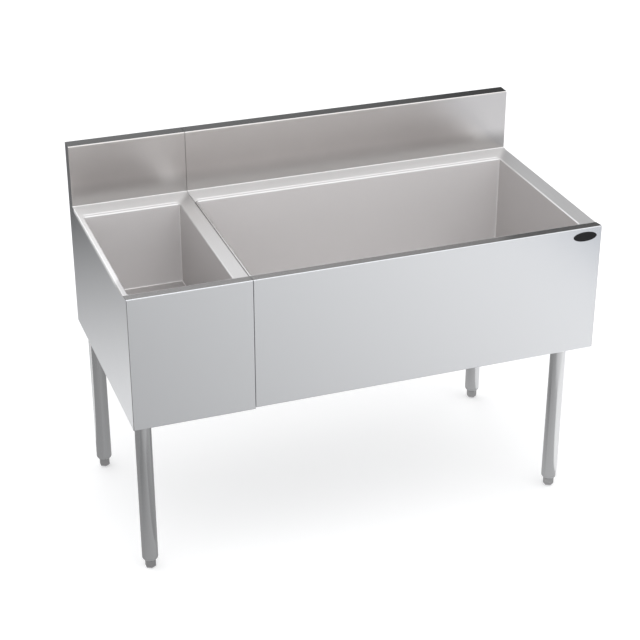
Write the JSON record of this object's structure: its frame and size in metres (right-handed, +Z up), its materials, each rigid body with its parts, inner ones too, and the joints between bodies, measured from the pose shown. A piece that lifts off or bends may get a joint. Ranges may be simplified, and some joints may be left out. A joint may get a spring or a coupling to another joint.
{
  "type": "underbar ice bin",
  "caption": "Stainless underbar ice bin: a narrow well beside a wide insulated ice tub, with a backsplash, lift-out drain strainers and round legs on screw feet.",
  "frame": {"origin": "on the floor, under the middle of the unit's box", "axes": "+X to the right along the front, +Y to the back, +Z up"},
  "size_m": [1.2192, 0.6106, 0.9624],
  "materials": {
    "satin_steel": "satin, fine brushed grain",
    "tub_steel": "satin, a little warmer",
    "plain_steel": "mill finish",
    "leg_steel": "polished tube",
    "foot_steel": "turned and bevelled",
    "fitting_chrome": "bright",
    "zinc_steel": "zinc plated",
    "gasket_rubber": "matte black",
    "foam": "rigid foam",
    "badge_black": "gloss black, blank"
  },
  "bodies": {
    "unit": {"badge_plate": "badge_black", "bin_apron": "satin_steel", "bin_back": "plain_steel", "bin_backsplash": "satin_steel", "bin_drain": "fitting_chrome", "bin_drain_gasket": "gasket_rubber", "bin_drain_nut": "zinc_steel", "bin_foam": "foam", "bin_inner_side": "satin_steel", "bin_liner": "tub_steel", "bin_pan": "plain_steel", "bin_rim": "satin_steel", "bin_side": "satin_steel", "bin_splash_cap": "satin_steel", "insert_front_left": "leg_steel", "insert_front_right": "leg_steel", "insert_rear_left": "leg_steel", "insert_rear_right": "leg_steel", "joining_bolts": "zinc_steel", "joining_nuts": "zinc_steel", "leg_front_left": "leg_steel", "leg_front_right": "leg_steel", "leg_rear_left": "leg_steel", "leg_rear_right": "leg_steel", "seam_gasket": "gasket_rubber", "socket_front_left": "plain_steel", "socket_front_right": "plain_steel", "socket_rear_left": "plain_steel", "socket_rear_right": "plain_steel", "socket_set_screws": "zinc_steel", "well_apron": "satin_steel", "well_back": "plain_steel", "well_backsplash": "satin_steel", "well_drain": "fitting_chrome", "well_drain_gasket": "gasket_rubber", "well_drain_nut": "zinc_steel", "well_foam": "foam", "well_inner_side": "satin_steel", "well_liner": "tub_steel", "well_pan": "plain_steel", "well_rim": "satin_steel", "well_side": "satin_steel", "well_splash_cap": "satin_steel"},
    "foot_front_left": {"foot_front_left": "foot_steel"},
    "foot_front_right": {"foot_front_right": "foot_steel"},
    "foot_rear_left": {"foot_rear_left": "foot_steel"},
    "foot_rear_right": {"foot_rear_right": "foot_steel"},
    "well_strainer": {"well_strainer": "fitting_chrome"},
    "bin_strainer": {"bin_strainer": "fitting_chrome"}
  },
  "joints": [
    {"name": "foot_front_left_screw", "type": "slide", "parent": "unit", "child": "foot_front_left", "axis": [0, 0, -1], "range_m": [-0.0015, 0.022]},
    {"name": "foot_front_right_screw", "type": "slide", "parent": "unit", "child": "foot_front_right", "axis": [0, 0, -1], "range_m": [-0.0015, 0.022]},
    {"name": "foot_rear_left_screw", "type": "slide", "parent": "unit", "child": "foot_rear_left", "axis": [0, 0, -1], "range_m": [-0.0015, 0.022]},
    {"name": "foot_rear_right_screw", "type": "slide", "parent": "unit", "child": "foot_rear_right", "axis": [0, 0, -1], "range_m": [-0.0015, 0.022]},
    {"name": "well_strainer_lift", "type": "slide", "parent": "unit", "child": "well_strainer", "axis": [0, 0, 1], "range_m": [0, 0.42]},
    {"name": "bin_strainer_lift", "type": "slide", "parent": "unit", "child": "bin_strainer", "axis": [0, 0, 1], "range_m": [0, 0.49]}
  ]
}
